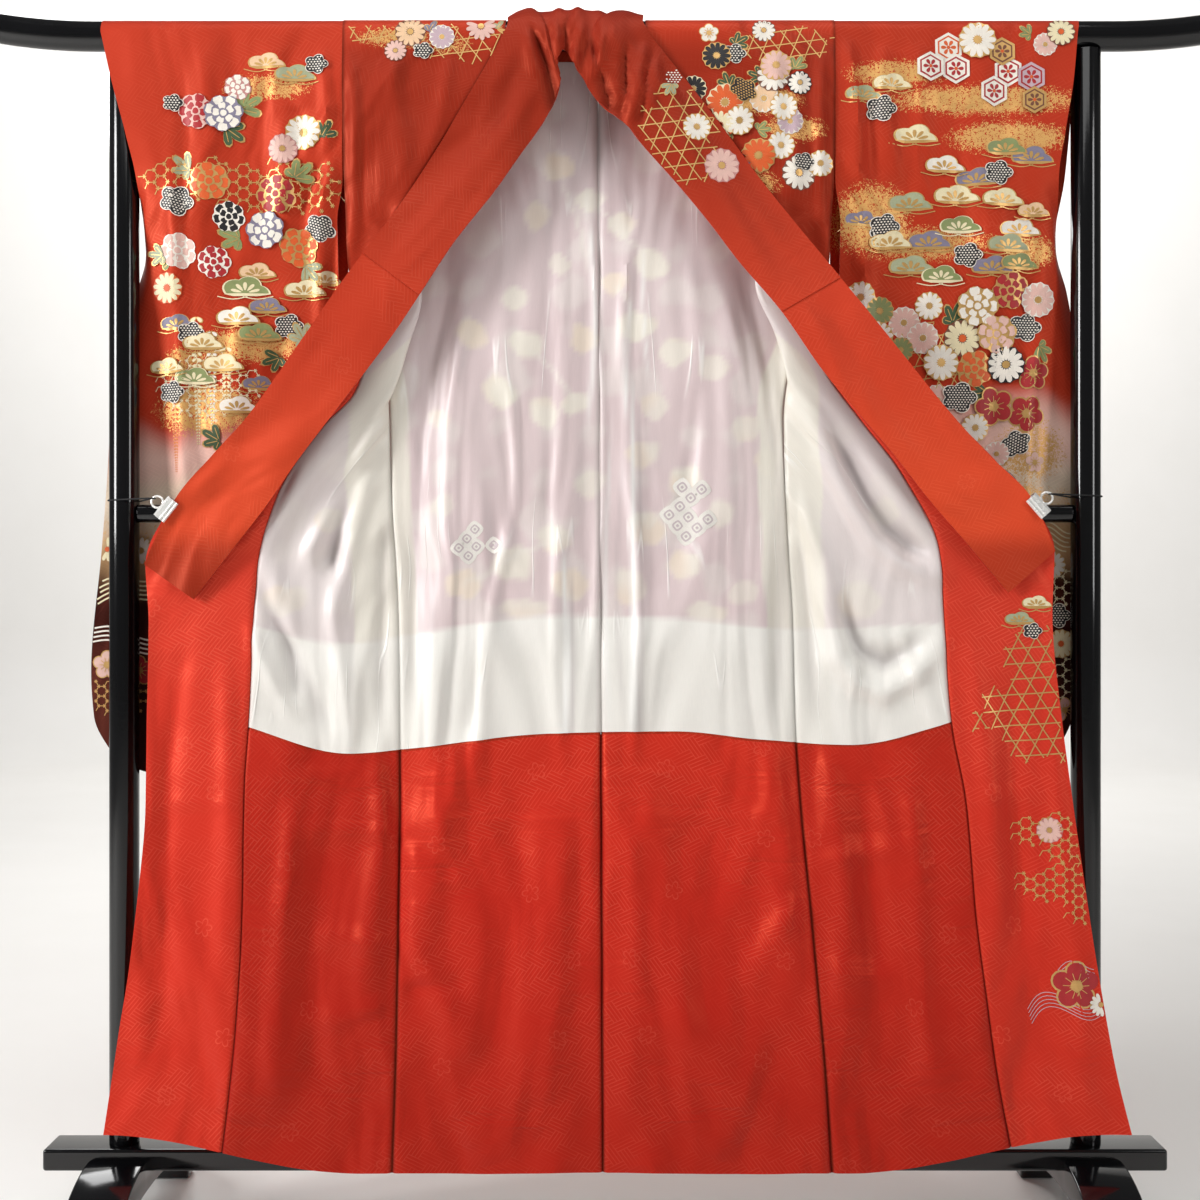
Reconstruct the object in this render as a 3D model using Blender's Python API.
# Furisode kimono hung open on a lacquered kimono stand.
# Metres, +Z up, the open front and its lining face -Y, the middle of the stand is at X = 0.
# Cloth walls are worked out from rows across each panel, from the hem up over the bar and down again.
# The tables are in millimetres, and MM turns them into metres.
import math

import bmesh
import bpy
import numpy as np
from mathutils import Vector

MM = 0.001

# Stand
BAR_RADIUS = 20.5 * MM
BAR_HEIGHT = 1669.0 * MM
BAR_HALF_LENGTH = 905.0 * MM
BAR_BEND_START = 710.0 * MM
BAR_END_RISE = 22.0 * MM
UPRIGHT_X = 673.0 * MM
UPRIGHT_RADIUS = 20.5 * MM
RAIL_HEIGHT = 1001.0 * MM
RAIL_RADIUS = 12.5 * MM
BEAM_SIZE = (1554.0 * MM, 64.0 * MM, 30.0 * MM)
BEAM_BOTTOM = 91.0 * MM
FOOT_WIDTH = 80.0 * MM
FOOT_HALF_LENGTH = 222.0 * MM
FOOT_TOP = 106.0 * MM
FOOT_TOE = 9.0 * MM
FOOT_SOLE = 34.0 * MM
FOOT_ARCH = 62.0 * MM
FOOT_STEPS = 9
ROUND_SIDES = 28

# Cloth
CLOTH_WALL = 1.2 * MM
LINING_WALL = 1.0 * MM
COLLAR_WALL = 2.0 * MM
OVER_COLLAR_WALL = 1.1 * MM
SEAM_GAP = 0.3 * MM
LAYER_GAP = 0.3 * MM
DRAPE_RADIUS = BAR_RADIUS + 0.45 * MM
DRAPE_STEPS = 12
BODY_COLUMNS = 6
OVERLAP_COLUMNS = 3
COLLAR_COLUMNS = 7
OVER_BAR_SLACK = 0.06
HEM_LEVEL = 95.0
HEM_RISE = 58.0
HEM_RISE_FROM = 330.0
HEM_RISE_TO = 680.0
HEM_RISE_BELOW = 450.0

# Each front, a row for each level from the bar down: the side seam or armhole edge, the middle of the row,
# the collar seam or free edge, how far along the row the seam to the overlap lies, and how much of the
# row's depth it turns through at its two ends, which rounds the folds.
FRONT_COLUMNS = ("level", "side_x", "side_y", "middle_x", "middle_y", "edge_x", "edge_y", "seam_at",
                 "turn")
FRONT_LEFT = (
    (1669, -364, -20.95, -251, -20.95, -138, -20.95, 1.00, 0.2),
    (1604, -364, -25.0, -270, -29.0, -172, -29.0, 1.00, 0.2),
    (1550, -363, -26.0, -283, -32.0, -203, -32.0, 1.00, 0.2),
    (1464, -361, -24.0, -308, -35.0, -254, -37.0, 1.00, 0.2),
    (1425, -359, -22.0, -304, -33.0, -279, -41.0, 1.00, 0.4),
    (1390, -358, -20.0, -292, -31.0, -305, -46.0, 1.00, 0.45),
    (1354, -357, -18.0, -274, -31.0, -331, -50.0, 0.86, 0.2),
    (1301, -349, -17.0, -254, -33.0, -369, -53.0, 0.80, 0.12),
    (1230, -322, -18.0, -276, -34.0, -417, -55.0, 0.76, 0.2),
    (1165, -303, -19.5, -308, -36.0, -463, -55.0, 0.70, 0.62),
    (1120, -300, -20.0, -358, -38.0, -495, -55.0, 0.66, 0.60),
    (1018, -297, -21.0, -432, -42.0, -587, -52.0, 0.59, 0.25),
    (929, -290, -23.0, -448, -41.0, -630, -46.0, 0.61, 0.25),
    (846, -286, -26.0, -452, -41.0, -625, -49.0, 0.62, 0.25),
    (743, -284, -30.0, -453, -44.0, -626, -52.0, 0.63, 0.25),
    (613, -283, -33.0, -455, -47.0, -627, -56.0, 0.65, 0.25),
    (421, -285, -39.0, -462, -52.0, -643, -60.0, 0.63, 0.25),
    (268, -287, -44.0, -472, -57.0, -663, -62.0, 0.62, 0.25),
    (95, -292, -49.0, -485, -60.0, -682, -65.0, 0.625, 0.25),
)
FRONT_RIGHT = (
    (1669, 319, -20.95, 188, -20.95, 56, -20.95, 1.00, 0.2),
    (1604, 319, -25.0, 214, -29.0, 106, -29.0, 1.00, 0.2),
    (1544, 318, -26.0, 236, -32.0, 152, -32.0, 1.00, 0.2),
    (1453, 316, -24.0, 268, -35.0, 217, -37.0, 1.00, 0.2),
    (1425, 314, -22.0, 257, -33.0, 238, -41.0, 1.00, 0.4),
    (1390, 312, -20.0, 240, -31.0, 265, -46.0, 1.00, 0.45),
    (1354, 311, -18.0, 220, -31.0, 293, -50.0, 0.87, 0.2),
    (1320, 306, -17.0, 208, -33.0, 321, -53.0, 0.80, 0.12),
    (1247, 280, -18.0, 240, -34.0, 380, -56.0, 0.75, 0.15),
    (1190, 256, -19.5, 268, -36.0, 425, -56.0, 0.70, 0.6),
    (1130, 249, -20.0, 315, -37.5, 475, -55.0, 0.67, 0.6),
    (1052, 250, -20.0, 385, -41.0, 549, -53.0, 0.60, 0.25),
    (947, 254, -22.0, 425, -40.0, 616, -46.0, 0.62, 0.25),
    (857, 259, -25.0, 430, -40.0, 612, -49.0, 0.63, 0.25),
    (717, 262, -30.0, 435, -43.0, 624, -53.0, 0.64, 0.25),
    (607, 269, -33.0, 448, -46.0, 638, -56.0, 0.66, 0.25),
    (432, 285, -38.0, 468, -51.0, 662, -60.0, 0.64, 0.25),
    (221, 303, -45.0, 490, -58.0, 694, -63.0, 0.645, 0.25),
    (95, 311, -49.0, 505, -60.0, 716, -65.0, 0.65, 0.25),
)
FRONT_LEVELS = (1669, 1625, 1580, 1530, 1464, 1436, 1414, 1392, 1354, 1310, 1250, 1205, 1180, 1162, 1146, 1125,
                1040, 935, 840, 740, 640, 500, 350, 220, 95)

# The back: its depth at the centre seam, and the armhole edge above the side seam.
BACK_COLUMNS = ("level", "centre_y", "side_y")
BACK_DEPTHS = (
    (1669, 20.95, 20.95),
    (1600, 21.5, 20.0),
    (1464, 7.0, 8.0),
    (1354, -3.0, -4.0),
    (1301, -7.0, -8.0),
    (1230, -11.0, -11.5),
    (1136, -15.0, -15.0),
    (1060, -17.5, -18.0),
    (1018, -19.0, -20.0),
    (846, -24.0, -26.0),
    (743, -27.0, -30.0),
    (613, -31.0, -33.0),
    (421, -38.0, -39.0),
    (268, -42.0, -44.0),
    (95, -46.0, -49.0),
)
BACK_BELLY = 3.0
BACK_LEVELS = (1640, 1580, 1500, 1410, 1354, 1310, 1240, 1140, 1040, 935, 840, 740, 640, 500, 350, 220, 95)
ARMHOLE_TOP = 1464.0
SIDE_SEAM_TOP = 1325.0
CENTRE_SEAM_TOP_X = -10.0
CENTRE_SEAM_HEM_X = -3.0

# Where the white lining ends and the red hem lining starts, across the whole garment.
LINING_EDGE_COLUMNS = ("x", "level")
LINING_EDGE = (
    (-500, 708),
    (-350, 667),
    (-284, 672),
    (-75, 694),
    (100, 697),
    (212, 686),
    (335, 679),
    (500, 718),
)
LINING_EDGE_ROW_ABOVE = 740
FRONT_LINING_TOP = 1392

# Sleeves, a row for each level: the flat face, the fold beside the upright and the outer edge of the
# front layer, and the flat face and outer edge of the back layer. X is measured outward.
SLEEVE_COLUMNS = ("level", "face_y", "fold_x", "fold_y", "outer_x", "outer_y", "back_y",
                  "back_outer_x", "back_outer_y")
SLEEVE_LEFT = (
    (1669, -20.95, 620, -20.95, 700, -20.95, 20.95, 700, 20.95),
    (1594, -24.0, 616, -25.0, 682, -25.5, 23.5, 684, 24.0),
    (1526, -24.0, 612, -25.5, 664, -25.5, 24.5, 668, 24.5),
    (1470, -22.0, 624, -23.0, 652, -19.0, 25.5, 660, 25.0),
    (1432, -20.0, 638, -14.0, 649, -3.0, 26.5, 654, 22.5),
    (1400, -16.0, 641, -6.0, 648, 9.0, 27.5, 648, 10.2),
    (1363, -12.0, 640, 2.0, 650, 23.5, 29.0, 650, 24.7),
    (1317, -6.0, 640, 6.0, 663, 26.0, 30.0, 663, 27.2),
    (1264, -1.0, 636, 13.0, 680, 29.5, 32.5, 680, 30.7),
    (1157, 8.0, 637, 19.0, 700, 30.0, 34.0, 700, 31.2),
    (1049, 18.0, 634, 23.5, 707, 30.0, 35.0, 707, 31.2),
    (954, 22.5, 640, 26.5, 714, 29.5, 35.0, 714, 30.7),
    (778, 23.0, 650, 26.0, 729, 29.0, 35.0, 729, 30.2),
    (715, 23.5, 650, 26.0, 725, 29.0, 34.0, 725, 30.2),
    (669, 24.5, 640, 26.5, 703, 29.0, 31.0, 703, 30.2),
    (645, 26.0, 620, 27.0, 676, 28.5, 29.2, 676, 29.7),
    (633, 27.0, 590, 27.5, 640, 28.0, 28.2, 640, 29.2),
)
SLEEVE_RIGHT = (
    (1669, -20.95, 600, -20.95, 656, -20.95, 20.95, 668, 20.95),
    (1594, -24.0, 596, -25.0, 648, -25.5, 23.5, 662, 24.0),
    (1526, -24.0, 592, -25.5, 637, -25.5, 24.5, 656, 24.5),
    (1470, -22.0, 596, -23.0, 630, -20.0, 25.5, 650, 25.0),
    (1432, -20.0, 616, -16.0, 633, -4.0, 26.5, 642, 22.5),
    (1400, -16.0, 622, -8.0, 634, 9.0, 27.5, 634, 10.2),
    (1363, -12.0, 628, 1.0, 640, 23.5, 29.0, 640, 24.7),
    (1317, -6.0, 632, 6.0, 654, 26.0, 30.0, 654, 27.2),
    (1264, -1.0, 638, 14.0, 664, 29.5, 32.5, 664, 30.7),
    (1157, 8.0, 641, 21.0, 672, 30.0, 34.0, 672, 31.2),
    (1049, 18.0, 636, 25.0, 676, 30.0, 35.0, 676, 31.2),
    (954, 22.5, 636, 26.5, 677, 29.5, 35.0, 677, 30.7),
    (778, 23.0, 640, 26.0, 674, 29.0, 35.0, 674, 30.2),
    (715, 23.5, 630, 26.0, 664, 29.0, 34.0, 664, 30.2),
    (669, 24.5, 612, 26.5, 642, 29.0, 31.0, 642, 30.2),
    (645, 26.0, 590, 27.0, 618, 28.5, 29.2, 618, 29.7),
    (633, 27.0, 560, 27.5, 590, 28.0, 28.2, 590, 29.2),
)
SLEEVE_LEVELS = (1669, 1600, 1530, 1480, 1436, 1400, 1363, 1317, 1250, 1157, 1049, 930, 790, 720, 672, 645, 633)
SLEEVE_SEAM_LEVEL = 1464.0
SLEEVE_INNER_LEFT = 364.0
SLEEVE_INNER_RIGHT = 319.0
SLEEVE_SLIT = 8.0
SLEEVE_FLAT_COLUMNS = 3
SLEEVE_FOLD_COLUMNS = 2

# Collar, a row for each station from the left tip over the neck to the right tip: the sewn edge,
# the inner edge and how far the band is lifted between them, which carries it over the bar at the neck.
COLLAR_STATION = ("seam_x", "seam_y", "seam_z", "inner_x", "inner_y", "inner_z", "lift")
COLLAR_ROWS = (
    (-631, -49.2, 929, -561, -57, 881, 0),
    (-587, -55, 1018, -503, -62, 954, 0),
    (-535, -57.2, 1078, -460, -65, 1009, 0),
    (-483, -58, 1136, -415, -67, 1073, 0),
    (-417, -58, 1230, -344, -67, 1166, 0),
    (-369, -56.2, 1301, -292, -65, 1236, 0),
    (-331, -53.2, 1354, -253, -62, 1295, 0),
    (-279, -44.7, 1425, -205, -58, 1369, 0),
    (-227, -38.2, 1507, -150, -52, 1440, 0),
    (-203, -35.2, 1550, -117, -48, 1488, 0),
    (-172, -33, 1604, -82, -44, 1540, 1),
    (-148, -29, 1648, -63, -42, 1585, 10),
    (-135.5, -24.5, 1674, -63, -38, 1600, 30),
    (-134.5, -15, 1688, -64, -37, 1606, 42),
    (-132, 2, 1694, -66, -36, 1612, 54),
    (-129, 17, 1687.5, -66, -35, 1617, 64),
    (-122, 26.5, 1668, -66, -34, 1622, 74),
    (-80, 28, 1652, -62, -32, 1634, 78),
    (-36, 28.5, 1648, -58, -32.5, 1640, 78),
    (8, 28, 1652, -50, -32.5, 1634, 79),
    (42, 26.5, 1668, -40, -33, 1612, 76),
    (48, 17, 1687.5, -35, -34.5, 1605, 68),
    (51, 2, 1694, -30, -36, 1598, 57),
    (53, -15, 1688, -26, -37, 1590, 45),
    (54, -24.5, 1674, -22, -38, 1582, 33),
    (72, -29, 1648, -7, -42, 1562, 10),
    (106, -33, 1604, 25, -44, 1536, 1),
    (140, -35.2, 1560, 52, -48, 1502, 0),
    (179, -38.2, 1506, 100, -52, 1447, 0),
    (217, -41.2, 1453, 143, -56, 1394, 0),
    (262, -48.7, 1394, 184, -60, 1339, 0),
    (321, -56.2, 1320, 240, -65, 1272, 0),
    (380, -59.2, 1247, 300, -67, 1186, 0),
    (463, -58.4, 1144, 386, -67, 1085, 0),
    (520, -57.2, 1081, 441, -64, 1016, 0),
    (580, -55.7, 1022, 492, -61, 958, 0),
    (616, -49.4, 947, 550, -57, 890, 0),
)
OVER_COLLAR_FIRST = 6
OVER_COLLAR_LAST = 31

# Clips that pull the collar tips out, and the cords that tie them to the uprights.
CLIP_LENGTH = 32.0 * MM
CLIP_DEPTH = 15.0 * MM
CLIP_GAPE = 13.0 * MM
CLIP_WALL = 1.4 * MM
CLIP_BACK = 4.0 * MM
CLIP_LEFT = (-603.0, -53.0, 1007.0)
CLIP_RIGHT = (595.0, -53.0, 1012.0)
CLIP_TURN_LEFT = 218.0
CLIP_TURN_RIGHT = -41.0
RING_RADIUS = 8.0 * MM
RING_WIRE = 1.6 * MM
TIE_RADIUS = 1.1 * MM
TIE_PAST_RING = 3.0 * MM

RED = (0.62, 0.06, 0.03, 1.0)
HEM_RED = (0.52, 0.03, 0.02, 1.0)
LINING_WHITE = (0.82, 0.78, 0.76, 1.0)
LACQUER = (0.004, 0.004, 0.005, 1.0)
STEEL = (0.75, 0.75, 0.76, 1.0)
CORD_BLACK = (0.01, 0.01, 0.01, 1.0)


def clear_scene():
    for item in list(bpy.data.objects):
        bpy.data.objects.remove(item, do_unlink=True)


def material(name, colour, roughness, metallic=0.0):
    made = bpy.data.materials.new(name)
    made.use_nodes = True
    shader = made.node_tree.nodes["Principled BSDF"]
    shader.inputs["Base Color"].default_value = colour
    shader.inputs["Roughness"].default_value = roughness
    shader.inputs["Metallic"].default_value = metallic
    return made


def read_table(columns, rows, column, at):
    """The smooth value of one column where the first column equals at."""
    which = columns.index(column)
    ordered = sorted(rows)
    keys = [row[0] for row in ordered]
    values = [row[which] for row in ordered]
    slopes = [(values[i + 1] - values[i]) / (keys[i + 1] - keys[i]) for i in range(len(keys) - 1)]
    tangents = [slopes[0]]
    for before, after in zip(slopes, slopes[1:]):
        same_way = before * after > 0.0
        tangents.append(2.0 * before * after / (before + after) if same_way else 0.0)
    tangents.append(slopes[-1])
    at = min(max(at, keys[0]), keys[-1])
    i = min(max(j for j, key in enumerate(keys) if key <= at), len(keys) - 2)
    span = keys[i + 1] - keys[i]
    f = (at - keys[i]) / span
    start = (1 + 2 * f) * (1 - f) ** 2 * values[i] + f * (1 - f) ** 2 * span * tangents[i]
    end = f * f * (3 - 2 * f) * values[i + 1] + f * f * (f - 1) * span * tangents[i + 1]
    return start + end


def smooth_step(value):
    value = min(max(value, 0.0), 1.0)
    return value * value * (3.0 - 2.0 * value)


def hem_height(level, x):
    """A level near the hem is lifted where the hem rises toward the overlaps."""
    low = min(max((HEM_RISE_BELOW - level) / (HEM_RISE_BELOW - HEM_LEVEL), 0.0), 1.0)
    rise = smooth_step((abs(x) - HEM_RISE_FROM) / (HEM_RISE_TO - HEM_RISE_FROM))
    return level + HEM_RISE * rise * low ** 2


def over_bar(x, turn):
    """A point of cloth lying on the bar: turn 0 is the front of the bar and 1 the rear."""
    angle = math.pi * turn
    y = -DRAPE_RADIUS * math.cos(angle)
    z = BAR_HEIGHT + DRAPE_RADIUS * math.sin(angle)
    return Vector((x * MM, y, z))


def front_point(table, level, t):
    """A point of one front: t is 0 at the side seam and 1 at the collar seam or free edge."""
    row = {name: read_table(FRONT_COLUMNS, table, name, level) for name in FRONT_COLUMNS[1:]}
    pull_x = (row["middle_x"] - 0.125 * (row["side_x"] + row["edge_x"])) / 0.75
    pull_y = (row["middle_y"] - 0.5 * (row["side_y"] + row["edge_y"])) / 0.75
    step_y = row["turn"] * (row["edge_y"] - row["side_y"])
    near_y = row["side_y"] + pull_y + step_y
    far_y = row["edge_y"] + pull_y - step_y
    corners = {"x": (row["side_x"], pull_x, pull_x, row["edge_x"]),
               "y": (row["side_y"], near_y, far_y, row["edge_y"])}
    place = []
    for axis in ("x", "y"):
        a, b, c, d = corners[axis]
        place.append((1 - t) ** 3 * a + 3 * t * (1 - t) ** 2 * b + 3 * t * t * (1 - t) * c + t ** 3 * d)
    return Vector((place[0], place[1], hem_height(level, place[0]))) * MM


def seam_at(table, level):
    return read_table(FRONT_COLUMNS, table, "seam_at", level)


def back_side_x(table, level):
    """The side edge of the back follows the side seam, and above it the armhole edge."""
    if level <= SIDE_SEAM_TOP:
        return read_table(FRONT_COLUMNS, table, "side_x", level)
    top = table[0][1]
    seam = read_table(FRONT_COLUMNS, table, "side_x", SIDE_SEAM_TOP)
    blend = smooth_step((level - SIDE_SEAM_TOP) / (ARMHOLE_TOP - SIDE_SEAM_TOP))
    return seam + (top - seam) * blend


def centre_x(level):
    down = (BAR_HEIGHT / MM - level) / (BAR_HEIGHT / MM - HEM_LEVEL)
    return CENTRE_SEAM_TOP_X + (CENTRE_SEAM_HEM_X - CENTRE_SEAM_TOP_X) * down


def back_point(table, level, t):
    """A point of one half of the back: t is 0 at the side seam and 1 at the centre seam."""
    side_x = back_side_x(table, level)
    side_y = read_table(BACK_COLUMNS, BACK_DEPTHS, "side_y", level)
    middle_y = read_table(BACK_COLUMNS, BACK_DEPTHS, "centre_y", level)
    x = side_x + (centre_x(level) - side_x) * t
    y = side_y + (middle_y - side_y) * t - BACK_BELLY * math.sin(math.pi * t) ** 2
    return Vector((x, y, hem_height(level, x))) * MM


def body_grid(table):
    """Rows from the front hem up over the bar and down to the back hem, from side to inner edge."""
    grid = []
    for level in reversed(FRONT_LEVELS):
        share = seam_at(table, level)
        grid.append([front_point(table, level, share * j / BODY_COLUMNS) for j in range(BODY_COLUMNS + 1)])
    side_x = table[0][1]
    neck_x = table[0][5]
    for step in range(1, DRAPE_STEPS + 1):
        turn = step / DRAPE_STEPS
        grid.append([over_bar(side_x + (neck_x - side_x) * j / BODY_COLUMNS, turn)
                     for j in range(BODY_COLUMNS + 1)])
    for level in BACK_LEVELS:
        grid.append([back_point(table, level, j / BODY_COLUMNS) for j in range(BODY_COLUMNS + 1)])
    return grid


def overlap_grid(table):
    """Rows of the overlap from the hem up to where it ends in a point at the collar seam."""
    grid = []
    for level in reversed(FRONT_LEVELS):
        share = seam_at(table, level)
        if share > 0.97:
            break
        grid.append([front_point(table, level, share + (1 - share) * j / OVERLAP_COLUMNS)
                     for j in range(OVERLAP_COLUMNS + 1)])
    return grid


def grid_normals(grid):
    """Unit normals from the neighbours of each point."""
    rows = len(grid)
    columns = len(grid[0])
    normals = []
    for i in range(rows):
        line = []
        for j in range(columns):
            along = grid[min(i + 1, rows - 1)][j] - grid[max(i - 1, 0)][j]
            across = grid[i][min(j + 1, columns - 1)] - grid[i][max(j - 1, 0)]
            line.append(along.cross(across).normalized())
        normals.append(line)
    return normals


def trimmed(grid, first=0.0, last=0.0):
    """The grid with its two side edges drawn in by the given lengths."""
    result = []
    for line in grid:
        line = list(line)
        start = (line[1] - line[0]).normalized()
        end = (line[-2] - line[-1]).normalized()
        line[0] = line[0] + start * first
        line[-1] = line[-1] + end * last
        result.append(line)
    return result


def shortened(grid, first=0.0, last=0.0):
    """The grid with its first and last rows drawn in by the given lengths."""
    turned = [list(line) for line in zip(*grid)]
    return [list(line) for line in zip(*trimmed(turned, first, last))]


def wall(name, grid, normals, inner, outer, finish):
    """A closed wall of cloth between two distances from a grid of points."""
    rows = len(grid)
    columns = len(grid[0])
    count = rows * columns
    points = [grid[i][j] + normals[i][j] * inner for i in range(rows) for j in range(columns)]
    points += [grid[i][j] + normals[i][j] * outer for i in range(rows) for j in range(columns)]
    faces = []

    def square(a, b, c, d):
        faces.append((a, b, c))
        faces.append((a, c, d))

    for i in range(rows - 1):
        for j in range(columns - 1):
            a = i * columns + j
            b = a + 1
            c = a + columns + 1
            d = a + columns
            square(a, b, c, d)
            square(a + count, d + count, c + count, b + count)
    for i in range(rows - 1):
        a = i * columns
        square(a, a + columns, a + columns + count, a + count)
        b = a + columns - 1
        square(b, b + count, b + columns + count, b + columns)
    for j in range(columns - 1):
        square(j, j + count, j + 1 + count, j + 1)
        a = (rows - 1) * columns + j
        square(a, a + 1, a + 1 + count, a + count)
    return solid(name, points, faces, finish)


def solid(name, points, faces, finish):
    """An object from points and faces, with its faces turned outward."""
    mesh = bpy.data.meshes.new(name)
    mesh.from_pydata([tuple(point) for point in points], [], faces)
    shape = bmesh.new()
    shape.from_mesh(mesh)
    bmesh.ops.recalc_face_normals(shape, faces=shape.faces)
    if shape.calc_volume(signed=True) < 0.0:
        bmesh.ops.reverse_faces(shape, faces=shape.faces)
    shape.to_mesh(mesh)
    shape.free()
    mesh.materials.append(finish)
    made = bpy.data.objects.new(name, mesh)
    bpy.context.collection.objects.link(made)
    return made


def lining_level(x):
    return read_table(LINING_EDGE_COLUMNS, LINING_EDGE, "level", x)


def split_row(grid, row):
    """Points on the grid between a row and the next one, where the lining meets the hem lining."""
    line = []
    for low, high in zip(grid[row], grid[row + 1]):
        level = lining_level(low.x / MM) * MM
        share = (level - low.z) / (high.z - low.z)
        line.append(low.lerp(high, share))
    return line


def lined(name, grid, normals, first, last, finish, split, split_first=False):
    """Lining on the inner side of a panel, on rows first to last and, at one end, up to the split row."""
    rows = list(grid[first:last + 1])
    ways = list(normals[first:last + 1])
    line, facing = split
    place = 0 if split_first else len(rows)
    rows.insert(place, line)
    ways.insert(place, facing)
    rows = trimmed(rows, SEAM_GAP, SEAM_GAP / 2)
    rows = shortened(rows, SEAM_GAP / 2, SEAM_GAP / 2)
    return wall(name, rows, ways, -LAYER_GAP - LINING_WALL, -LAYER_GAP, finish)


def blended(first, second, shares):
    return [a.lerp(b, share).normalized() for a, b, share in zip(first, second, shares)]


def split_of(grid, normals, row):
    line = split_row(grid, row)
    shares = [(point.z - low.z) / (high.z - low.z)
              for point, low, high in zip(line, grid[row], grid[row + 1])]
    return line, blended(normals[row], normals[row + 1], shares)


def make_side(side, table, inner_sign, cloth, hem_cloth, lining_cloth):
    """One half of the body with its overlap, linings, hem linings and facing."""
    body = body_grid(table)
    ways = [[way * inner_sign for way in line] for line in grid_normals(body)]
    edges = trimmed(body, SEAM_GAP / 2, SEAM_GAP / 2)
    wall("body_" + side, edges, ways, 0.0, CLOTH_WALL, cloth)

    overlap = overlap_grid(table)
    overlap_ways = [[way * inner_sign for way in line] for line in grid_normals(overlap)]
    for line, near in zip(overlap_ways, ways):
        line[0] = near[-1]
    wall("overlap_" + side, trimmed(overlap, SEAM_GAP / 2), overlap_ways, 0.0, CLOTH_WALL, cloth)
    facing = trimmed(overlap, SEAM_GAP / 2)
    wall("facing_" + side, facing, overlap_ways, -LAYER_GAP - LINING_WALL, -LAYER_GAP, hem_cloth)

    rising = list(reversed(FRONT_LEVELS))
    below = rising.index(LINING_EDGE_ROW_ABOVE) - 1
    top = rising.index(FRONT_LINING_TOP)
    front_split = split_of(body, ways, below)
    lined("hem_lining_front_" + side, body, ways, 0, below, hem_cloth, split=front_split)
    lined("lining_front_" + side, body, ways, below + 1, top, lining_cloth, split=front_split,
          split_first=True)

    back_start = len(FRONT_LEVELS) + DRAPE_STEPS
    above = back_start + BACK_LEVELS.index(LINING_EDGE_ROW_ABOVE)
    back_split = split_of(body, ways, above)
    last = len(body) - 1
    lined("lining_back_" + side, body, ways, back_start, above, lining_cloth, split=back_split)
    lined("hem_lining_back_" + side, body, ways, above + 1, last, hem_cloth, split=back_split,
          split_first=True)


def sleeve_row(table, level, layer):
    """One row of a sleeve from its inner edge outward, in millimetres outward and back."""
    row = {name: read_table(SLEEVE_COLUMNS, table, name, level) for name in SLEEVE_COLUMNS[1:]}
    inner = SLEEVE_INNER_LEFT if table is SLEEVE_LEFT else SLEEVE_INNER_RIGHT
    if level < SLEEVE_SEAM_LEVEL:
        inner += SLEEVE_SLIT * smooth_step((SLEEVE_SEAM_LEVEL - level) / 60.0)
    turn_x = row["fold_x"] - 45.0
    places = []
    if layer == "front":
        corners = [(inner, row["face_y"]), (turn_x, row["face_y"]), (row["fold_x"], row["fold_y"]),
                   (row["outer_x"], row["outer_y"])]
    else:
        outer = (row["back_outer_x"], row["back_outer_y"])
        share = (row["fold_x"] - inner) / (row["outer_x"] - inner)
        near = inner + (outer[0] - inner) * min(share, 0.97)
        near_y = row["back_y"] + (outer[1] - row["back_y"]) * 0.6
        corners = [(inner, row["back_y"]), (turn_x, row["back_y"]), (near, near_y), outer]
    for j in range(SLEEVE_FLAT_COLUMNS):
        places.append(spline(corners, 0, j / SLEEVE_FLAT_COLUMNS))
    for part in (1, 2):
        for j in range(SLEEVE_FOLD_COLUMNS):
            places.append(spline(corners, part, j / SLEEVE_FOLD_COLUMNS))
    places.append(corners[-1])
    return places


def spline(corners, part, f):
    """A point on a smooth curve through the corners, between corner part and the next."""
    p1 = Vector(corners[part])
    p2 = Vector(corners[part + 1])
    p0 = Vector(corners[part - 1]) if part else p1 - (p2 - p1)
    p3 = Vector(corners[part + 2]) if part + 2 < len(corners) else p2 + (p2 - p1)
    into = (p2 - p0).normalized() * (p2 - p1).length
    away = (p3 - p1).normalized() * (p2 - p1).length
    start = p1 * ((1 + 2 * f) * (1 - f) ** 2) + into * (f * (1 - f) ** 2)
    return start + p2 * (f * f * (3 - 2 * f)) + away * (f * f * (f - 1))


def sleeve_grid(table, sign):
    """Rows from the bottom of the front layer up over the bar and down the back layer."""
    grid = []
    for level in reversed(SLEEVE_LEVELS):
        grid.append([Vector((sign * x, y, level)) * MM for x, y in sleeve_row(table, level, "front")])
    front_top = sleeve_row(table, SLEEVE_LEVELS[0], "front")
    back_top = sleeve_row(table, SLEEVE_LEVELS[0], "back")
    for step in range(1, DRAPE_STEPS):
        turn = step / DRAPE_STEPS
        grid.append([over_bar(sign * (a[0] + (b[0] - a[0]) * turn), turn)
                     for a, b in zip(front_top, back_top)])
    for level in SLEEVE_LEVELS:
        grid.append([Vector((sign * x, y, level)) * MM for x, y in sleeve_row(table, level, "back")])
    return grid


def make_sleeve(side, table, sign, cloth):
    grid = trimmed(sleeve_grid(table, sign), SEAM_GAP / 2)
    ways = [[way * -sign for way in line] for line in grid_normals(grid)]
    return wall("sleeve_" + side, grid, ways, 0.0, CLOTH_WALL, cloth)


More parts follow.
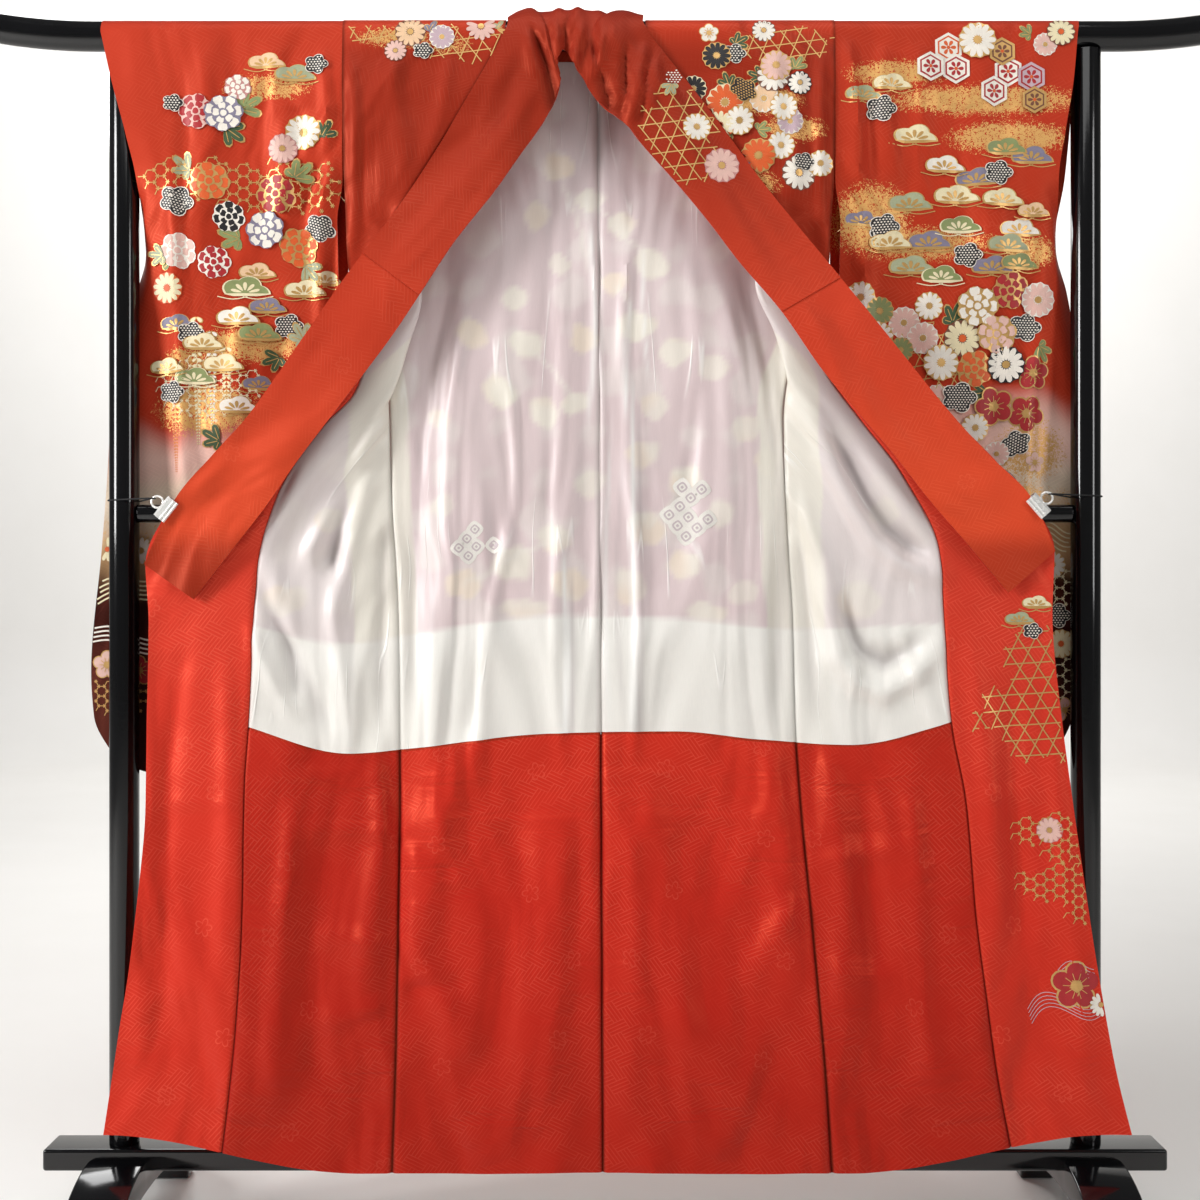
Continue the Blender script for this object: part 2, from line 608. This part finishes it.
def collar_grid(first, last):
    """Rows across the collar from its sewn edge to its inner edge."""
    grid = []
    for row in COLLAR_ROWS[first:last + 1]:
        station = dict(zip(COLLAR_STATION, row))
        seam = Vector((station["seam_x"], station["seam_y"], station["seam_z"]))
        inner = Vector((station["inner_x"], station["inner_y"], station["inner_z"]))
        near_seam = seam.lerp(inner, 1 / 3) + Vector((0, 0, station["lift"]))
        near_inner = seam.lerp(inner, 2 / 3) + Vector((0, 0, station["lift"]))
        near_seam.y = seam.y - 1.0
        near_inner.y = inner.y - 1.0 - OVER_BAR_SLACK * station["lift"]
        line = []
        for j in range(COLLAR_COLUMNS + 1):
            t = j / COLLAR_COLUMNS
            point = seam * (1 - t) ** 3 + near_seam * (3 * t * (1 - t) ** 2)
            point += near_inner * (3 * t * t * (1 - t)) + inner * t ** 3
            line.append(point * MM)
        grid.append(line)
    return grid


def make_collars(cloth):
    whole = collar_grid(0, len(COLLAR_ROWS) - 1)
    ways = grid_normals(whole)
    wall("collar", whole, ways, -COLLAR_WALL / 2, COLLAR_WALL / 2, cloth)
    part = slice(OVER_COLLAR_FIRST, OVER_COLLAR_LAST + 1)
    over = COLLAR_WALL / 2 + LAYER_GAP
    outward = -1.0 if ways[0][0].y > 0.0 else 1.0
    turned = [[way * outward for way in line] for line in ways[part]]
    wall("over_collar", whole[part], turned, over, over + OVER_COLLAR_WALL, cloth)


def tube(name, centres, radius, sides, finish):
    """A closed tube along a row of centres that lies in the plane of X and Z, or a straight rod."""
    points = []
    faces = []
    for i, centre in enumerate(centres):
        ahead = centres[min(i + 1, len(centres) - 1)] - centres[max(i - 1, 0)]
        ahead.normalize()
        level = Vector((0.0, 1.0, 0.0))
        square_on = ahead.cross(level)
        for j in range(sides):
            angle = 2.0 * math.pi * j / sides
            points.append(centre + (level * math.cos(angle) + square_on * math.sin(angle)) * radius)
    for i in range(len(centres) - 1):
        for j in range(sides):
            k = (j + 1) % sides
            faces.append((i * sides + j, i * sides + k, (i + 1) * sides + k, (i + 1) * sides + j))
    faces.append(tuple(reversed(range(sides))))
    faces.append(tuple(range((len(centres) - 1) * sides, len(centres) * sides)))
    return solid(name, points, faces, finish)


def bar_centre(x):
    bend = max(abs(x) - BAR_BEND_START, 0.0) / (BAR_HALF_LENGTH - BAR_BEND_START)
    return Vector((x, 0.0, BAR_HEIGHT + BAR_END_RISE * bend ** 2))


def make_stand(finish):
    bend = np.linspace(BAR_BEND_START, BAR_HALF_LENGTH, 8)
    places = [-x for x in reversed(bend)] + list(bend)
    tube("top_bar", [bar_centre(float(x)) for x in places], BAR_RADIUS, ROUND_SIDES, finish)
    beam_top = BEAM_BOTTOM + BEAM_SIZE[2]
    for side, x in (("left", -UPRIGHT_X), ("right", UPRIGHT_X)):
        low = Vector((x, 0.0, beam_top + SEAM_GAP))
        high = Vector((x, 0.0, BAR_HEIGHT - BAR_RADIUS - SEAM_GAP))
        tube("upright_" + side, [low, high], UPRIGHT_RADIUS, ROUND_SIDES, finish)
        make_foot("foot_" + side, x, finish)
    reach = UPRIGHT_X - UPRIGHT_RADIUS - SEAM_GAP
    ends = [Vector((-reach, 0.0, RAIL_HEIGHT)), Vector((reach, 0.0, RAIL_HEIGHT))]
    tube("middle_rail", ends, RAIL_RADIUS, 20, finish)
    make_beam(finish)


def make_beam(finish):
    shape = bmesh.new()
    bmesh.ops.create_cube(shape, size=1.0)
    bmesh.ops.scale(shape, vec=BEAM_SIZE, verts=shape.verts)
    bmesh.ops.bevel(shape, geom=list(shape.edges), offset=3.0 * MM, segments=2, profile=0.5, affect="EDGES")
    bmesh.ops.translate(shape, vec=(0.0, 0.0, BEAM_BOTTOM + BEAM_SIZE[2] / 2), verts=shape.verts)
    mesh = bpy.data.meshes.new("base_beam")
    shape.to_mesh(mesh)
    shape.free()
    mesh.materials.append(finish)
    made = bpy.data.objects.new("base_beam", mesh)
    bpy.context.collection.objects.link(made)
    return made


def make_foot(name, x, finish):
    """A bowed board across the beam, notched for it, with its two ends on the floor."""
    notch_y = BEAM_SIZE[1] / 2 + SEAM_GAP
    notch_z = BEAM_BOTTOM - SEAM_GAP
    reach = FOOT_HALF_LENGTH - notch_y
    upper = []
    for i in range(FOOT_STEPS + 1):
        f = i / FOOT_STEPS
        y = FOOT_HALF_LENGTH - reach * f
        upper.append((y, FOOT_TOE + (FOOT_TOP - FOOT_TOE) * math.sin(f * math.pi / 2) ** 0.9))
    lower = []
    arch_reach = FOOT_HALF_LENGTH - FOOT_SOLE
    for i in range(FOOT_STEPS * 2 + 1):
        f = i / (FOOT_STEPS * 2)
        angle = math.pi * f
        lower.append((arch_reach * math.cos(angle), FOOT_ARCH * math.sin(angle) ** 0.8 if 0 < f < 1 else 0.0))
    outline = [(FOOT_HALF_LENGTH, 0.0)] + upper + [(notch_y, notch_z), (-notch_y, notch_z)]
    outline += [(-y, z) for y, z in reversed(upper)] + [(-FOOT_HALF_LENGTH, 0.0)]
    outline += list(reversed(lower))
    count = len(outline)
    points = [Vector((x + side * FOOT_WIDTH / 2, y, z)) for side in (-1, 1) for y, z in outline]
    faces = [tuple(range(count)), tuple(reversed(range(count, 2 * count)))]
    for i in range(count):
        j = (i + 1) % count
        faces.append((i, i + count, j + count, j))
    return solid(name, points, faces, finish)


def make_clip(name, place, turn, finish):
    """A spring clip over the collar's sewn edge: two jaws with a round back, and a ring through it."""
    half_gape = CLIP_GAPE / 2
    outer = half_gape + CLIP_WALL
    back = CLIP_BACK - CLIP_WALL
    inside = [(-CLIP_DEPTH, half_gape), (0.0, half_gape), (back, half_gape / 2)]
    outside = [(-CLIP_DEPTH, outer), (0.0, outer), (CLIP_BACK, outer / 2)]
    profile = inside + [(u, -v) for u, v in reversed(inside)]
    profile += [(u, -v) for u, v in outside] + list(reversed(outside))
    count = len(profile)
    points = [Vector((u, v, s * CLIP_LENGTH / 2)) for s in (-1, 1) for u, v in profile]
    faces = [tuple(range(count)), tuple(reversed(range(count, 2 * count)))]
    for i in range(count):
        j = (i + 1) % count
        faces.append((i, i + count, j + count, j))
    clip = solid(name, points, faces, finish)
    ring = ring_cutter(name + "_ring")
    union = clip.modifiers.new("ring", "BOOLEAN")
    union.operation = "UNION"
    union.solver = "EXACT"
    union.object = ring
    for made in (clip, ring):
        made.rotation_euler = (0.0, math.radians(turn), 0.0)
        made.location = Vector(place) * MM
    return clip


def ring_middle():
    return CLIP_BACK + RING_RADIUS - RING_WIRE * 0.4


def ring_cutter(name):
    """The wire ring, joined to the clip by a union."""
    points = []
    faces = []
    around = 20
    sides = 8
    middle = ring_middle()
    for i in range(around):
        a = 2.0 * math.pi * i / around
        for j in range(sides):
            b = 2.0 * math.pi * j / sides
            reach = RING_RADIUS + RING_WIRE * math.cos(b)
            points.append(Vector((middle + reach * math.cos(a), RING_WIRE * math.sin(b), reach * math.sin(a))))
    for i in range(around):
        for j in range(sides):
            k = (i + 1) % around
            m = (j + 1) % sides
            faces.append((i * sides + j, k * sides + j, k * sides + m, i * sides + m))
    finish = bpy.data.materials.get("steel")
    made = solid(name, points, faces, finish)
    made.hide_render = True
    made.display_type = "WIRE"
    return made


def make_tie(name, side, finish):
    """A thin cord from the far rim of the clip's ring round the upright and back to the ring."""
    place, turn = (CLIP_LEFT, 180.0 - CLIP_TURN_LEFT) if side < 0 else (CLIP_RIGHT, CLIP_TURN_RIGHT)
    outward = Vector((math.cos(math.radians(turn)), 0.0, -math.sin(math.radians(turn))))
    rim = Vector((abs(place[0]), place[1], place[2])) * MM + outward * (ring_middle() + RING_RADIUS)
    apart = Vector((0.0, RING_WIRE + TIE_RADIUS + LAYER_GAP, 0.0))
    past = Vector((TIE_PAST_RING, 0.0, 0.0))
    round_radius = UPRIGHT_RADIUS + TIE_RADIUS + SEAM_GAP
    reach = math.hypot(UPRIGHT_X - rim.x, rim.y)
    toward = math.atan2(rim.y, rim.x - UPRIGHT_X)
    touch = math.acos(round_radius / reach)
    first = toward + touch
    last = toward - touch + 2.0 * math.pi
    steps = 16
    centres = [rim - past - apart, rim + past - apart]
    for i in range(steps + 1):
        angle = first + (last - first) * i / steps
        y = round_radius * math.sin(angle)
        x = UPRIGHT_X + round_radius * math.cos(angle)
        centres.append(Vector((x, y, rim.z)))
    centres += [rim + past + apart, rim - past + apart]
    curve = bpy.data.curves.new(name, "CURVE")
    curve.dimensions = "3D"
    curve.bevel_depth = TIE_RADIUS
    curve.bevel_resolution = 2
    curve.use_fill_caps = True
    line = curve.splines.new("POLY")
    line.points.add(len(centres) - 1)
    for point, centre in zip(line.points, centres):
        point.co = (side * centre.x, centre.y, centre.z, 1.0)
    curve.materials.append(finish)
    made = bpy.data.objects.new(name, curve)
    bpy.context.collection.objects.link(made)
    return made


def main():
    clear_scene()
    silk = material("red_silk", RED, 0.45)
    hem_silk = material("red_hem_lining", HEM_RED, 0.4)
    lining = material("white_lining", LINING_WHITE, 0.35)
    lacquer = material("black_lacquer", LACQUER, 0.12)
    steel = material("steel", STEEL, 0.2, 1.0)
    cord = material("black_cord", CORD_BLACK, 0.8)

    make_side("left", FRONT_LEFT, -1.0, silk, hem_silk, lining)
    make_side("right", FRONT_RIGHT, 1.0, silk, hem_silk, lining)
    make_sleeve("left", SLEEVE_LEFT, -1.0, silk)
    make_sleeve("right", SLEEVE_RIGHT, 1.0, silk)
    make_collars(silk)
    make_stand(lacquer)
    make_clip("clip_left", CLIP_LEFT, CLIP_TURN_LEFT, steel)
    make_clip("clip_right", CLIP_RIGHT, CLIP_TURN_RIGHT, steel)
    make_tie("tie_left", -1.0, cord)
    make_tie("tie_right", 1.0, cord)


main()
